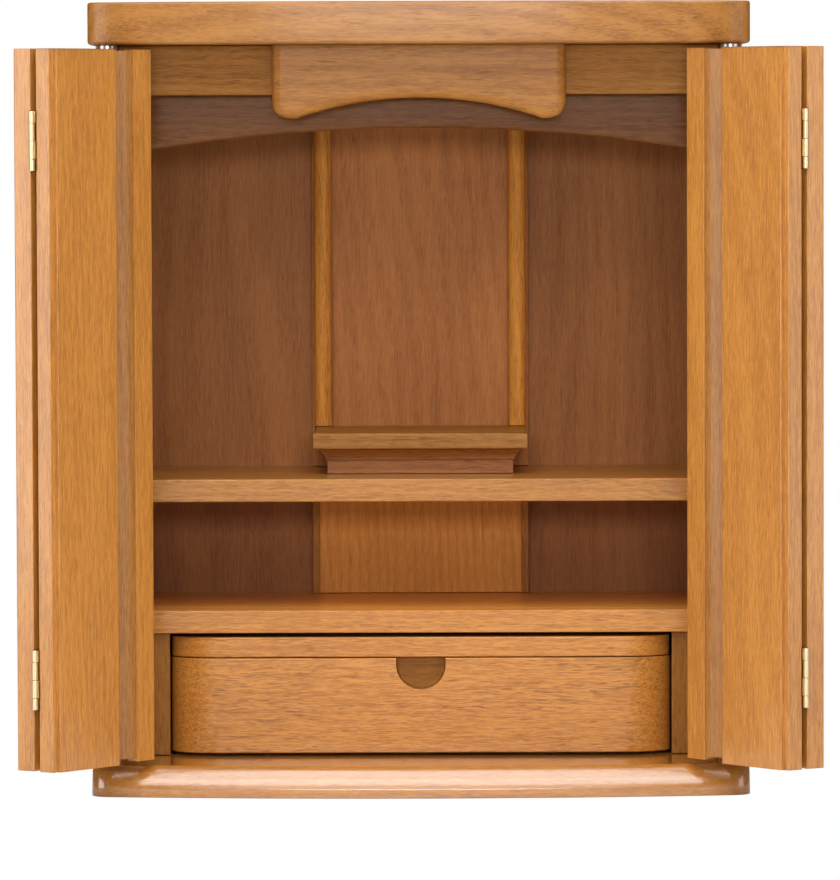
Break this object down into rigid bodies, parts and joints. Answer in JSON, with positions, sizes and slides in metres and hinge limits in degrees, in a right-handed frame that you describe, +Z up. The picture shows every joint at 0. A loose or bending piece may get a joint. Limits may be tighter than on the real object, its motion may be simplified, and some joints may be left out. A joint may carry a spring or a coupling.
{
  "type": "household altar cabinet",
  "caption": "Tabletop household altar cabinet of brown lacquered oak with folding doors, an arched header and plaque, a pillared bay with a pedestal, shelves, a sliding tray and a drawer.",
  "frame": {"origin": "Centre of the base's underside, on the surface that the cabinet stands on.", "axes": "+Z is up, +X is the viewer's right when facing the open front, +Y runs from the doors to the back."},
  "size_m": [0.5396, 0.3276, 0.54],
  "materials": {
    "oak_lacquer": "brown oak under a smooth gloss lacquer, grain along each board",
    "door_veneer": "honey brown oak veneer, fine upright grain, satin to gloss lacquer",
    "inner_veneer": "reddish brown veneer with upright figured grain, satin lacquer",
    "drawer_lining": "pale unlacquered board",
    "hinge_brass": "bright pale brass",
    "pivot_steel": "plain bright steel"
  },
  "bodies": {
    "carcass": {"base_board": "oak_lacquer", "top_board": "oak_lacquer", "side_panel_left": "oak_lacquer", "side_panel_right": "oak_lacquer", "back_panel": "inner_veneer", "mid_shelf": "oak_lacquer", "lower_shelf": "oak_lacquer", "centre_panel_upper": "inner_veneer", "centre_panel_lower": "inner_veneer", "pillar_left": "oak_lacquer", "pillar_right": "oak_lacquer", "strip_left": "oak_lacquer", "strip_right": "oak_lacquer", "pedestal_board": "oak_lacquer", "pedestal_plinth": "oak_lacquer", "front_rail": "oak_lacquer", "arch_board": "oak_lacquer", "plaque": "oak_lacquer", "bay_cheek_left": "oak_lacquer", "bay_cheek_right": "oak_lacquer"},
    "tray_board": {"tray": "oak_lacquer"},
    "drawer": {"drawer_front": "oak_lacquer", "drawer_side_left": "drawer_lining", "drawer_side_right": "drawer_lining", "drawer_back": "drawer_lining", "drawer_floor": "drawer_lining"},
    "door_left": {"outer_leaf_left": "door_veneer", "pivot_disc_upper_left": "pivot_steel", "pivot_disc_lower_left": "pivot_steel", "hinge_upper_left_outer": "hinge_brass", "hinge_lower_left_outer": "hinge_brass"},
    "leaf_left": {"inner_leaf_left": "door_veneer", "hinge_upper_left_inner": "hinge_brass", "hinge_lower_left_inner": "hinge_brass"},
    "door_right": {"outer_leaf_right": "door_veneer", "pivot_disc_upper_right": "pivot_steel", "pivot_disc_lower_right": "pivot_steel", "hinge_upper_right_outer": "hinge_brass", "hinge_lower_right_outer": "hinge_brass"},
    "leaf_right": {"inner_leaf_right": "door_veneer", "hinge_upper_right_inner": "hinge_brass", "hinge_lower_right_inner": "hinge_brass"}
  },
  "joints": [
    {"name": "door_left_swing", "type": "hinge", "parent": "carcass", "child": "door_left", "pos_m": [-0.2115, -0.1, 0], "axis": [0, 0, 1], "range_deg": [0, 122.2]},
    {"name": "door_left_fold", "type": "hinge", "parent": "door_left", "child": "leaf_left", "pos_m": [-0.25748, -0.19028, 0], "axis": [0, 0, -1], "range_deg": [0, 173.7]},
    {"name": "door_right_swing", "type": "hinge", "parent": "carcass", "child": "door_right", "pos_m": [0.2115, -0.1, 0], "axis": [0, 0, -1], "range_deg": [0, 122.2]},
    {"name": "door_right_fold", "type": "hinge", "parent": "door_right", "child": "leaf_right", "pos_m": [0.25748, -0.19028, 0], "axis": [0, 0, 1], "range_deg": [0, 173.7]},
    {"name": "tray_slide", "type": "slide", "parent": "carcass", "child": "tray_board", "axis": [0, -1, 0], "range_m": [0, 0.04]},
    {"name": "drawer_slide", "type": "slide", "parent": "carcass", "child": "drawer", "axis": [0, -1, 0], "range_m": [0, 0.04]}
  ],
  "couplings": [
    {"joint": "door_left_fold", "follows": "door_left_swing", "ratio": 1.4214},
    {"joint": "door_right_fold", "follows": "door_right_swing", "ratio": 1.4214}
  ]
}
